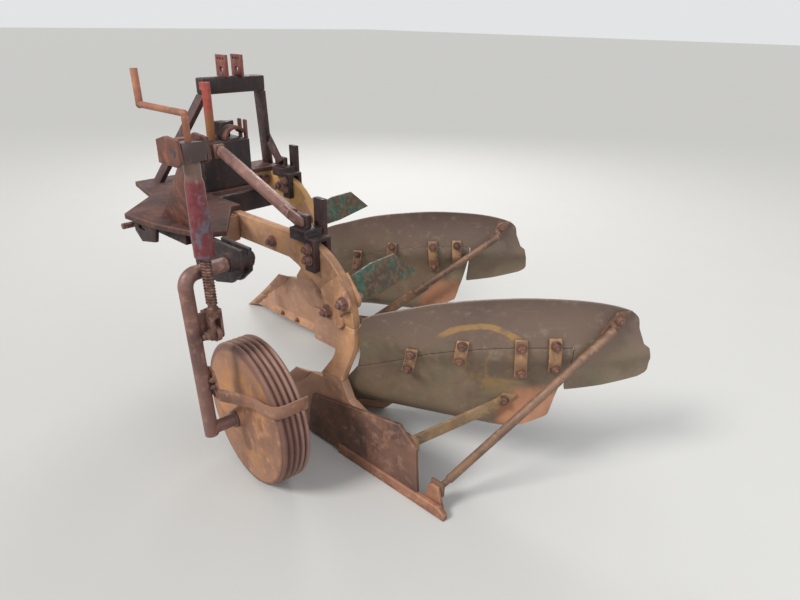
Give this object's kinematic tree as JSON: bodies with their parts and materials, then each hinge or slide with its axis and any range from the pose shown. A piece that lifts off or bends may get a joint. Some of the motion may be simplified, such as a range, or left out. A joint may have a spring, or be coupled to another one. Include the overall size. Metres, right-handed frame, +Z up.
{
  "type": "moldboard plough",
  "caption": "Mounted moldboard plough with curved plates on bowed legs, skimmers, a tractor headstock and a ribbed depth wheel set by a hand crank.",
  "frame": {"origin": "on the ground, in the middle of the footprint", "axes": "+X forward, the direction of travel; +Y towards the unploughed land on the left; +Z up"},
  "size_m": [1.8538, 1.3674, 1.1492],
  "materials": {
    "dark_frame": "black and brown old paint gone dull over rust",
    "worn_steel": "bare steel worn by use, brown film between",
    "red_rust": "reddish rust, matte",
    "purple_rust": "smooth purple brown rust, satin",
    "faded_red": "faded red paint worn through to rust",
    "ochre_rust": "ochre and orange rust, matte",
    "share_steel": "light reddish brown rust, matte",
    "board_steel": "grey brown rust film on once polished steel, satin",
    "dark_rust": "dark brown rust, matte",
    "green_paint": "old green paint with rust coming through",
    "wheel_rust": "orange brown rust, matte, polished on the ribs"
  },
  "bodies": {
    "root": {"cross_tube": "dark_frame", "link_pins": "worn_steel", "base_plate": "red_rust", "base_ribs": "dark_frame", "mast_legs": "purple_rust", "mast_top_bar": "dark_frame", "top_link_plates": "faded_red", "mast_column": "dark_frame", "mast_strut": "faded_red", "mast_brace": "purple_rust", "sector": "dark_frame", "sector_cap": "dark_frame", "sector_links": "faded_red", "diagonal_stay": "purple_rust", "beams": "ochre_rust", "beam_collar": "ochre_rust", "beam_clamps": "dark_frame", "legs": "ochre_rust", "leg_cheeks": "ochre_rust", "frogs": "dark_frame", "shares": "share_steel", "shins": "board_steel", "lower_boards": "board_steel", "upper_boards": "board_steel", "board_straps": "board_steel", "landside_rear": "dark_rust", "landside_front": "dark_rust", "landside_rail": "red_rust", "heel_lug": "red_rust", "stay_tubes": "purple_rust", "flat_brace": "ochre_rust", "skimmer_stems": "dark_frame", "skimmer_blades": "green_paint", "screw_bracket": "faded_red", "arm_bracket": "dark_frame"},
    "screw_tube": {"screw_tube": "faded_red", "crank": "ochre_rust"},
    "screw_rod": {"screw_rod": "worn_steel"},
    "wheel_arm": {"wheel_arm": "purple_rust", "scraper": "dark_rust"},
    "wheel": {"wheel": "wheel_rust"}
  },
  "joints": [
    {"name": "arm_hinge", "type": "hinge", "parent": "root", "child": "wheel_arm", "pos_m": [-0.04222, 0.66432, 0.672], "axis": [0, 1, 0], "range_deg": [0, 36]},
    {"name": "wheel_spin", "type": "hinge", "parent": "wheel_arm", "child": "wheel", "pos_m": [-0.07622, 0.66432, 0.22], "axis": [0.1149, 0.9934, 0], "continuous": true},
    {"name": "tube_hinge", "type": "hinge", "parent": "root", "child": "screw_tube", "pos_m": [-0.07122, 0.62032, 0.982], "axis": [0, 1, 0], "range_deg": [0, 12]},
    {"name": "rod_slide", "type": "slide", "parent": "screw_tube", "child": "screw_rod", "axis": [0.0383, 0, 0.9993], "range_m": [0, 0.043]}
  ],
  "couplings": [
    {"joint": "tube_hinge", "follows": "arm_hinge", "ratio": 0.331},
    {"joint": "rod_slide", "follows": "arm_hinge", "m_per_rad": 0.068}
  ]
}
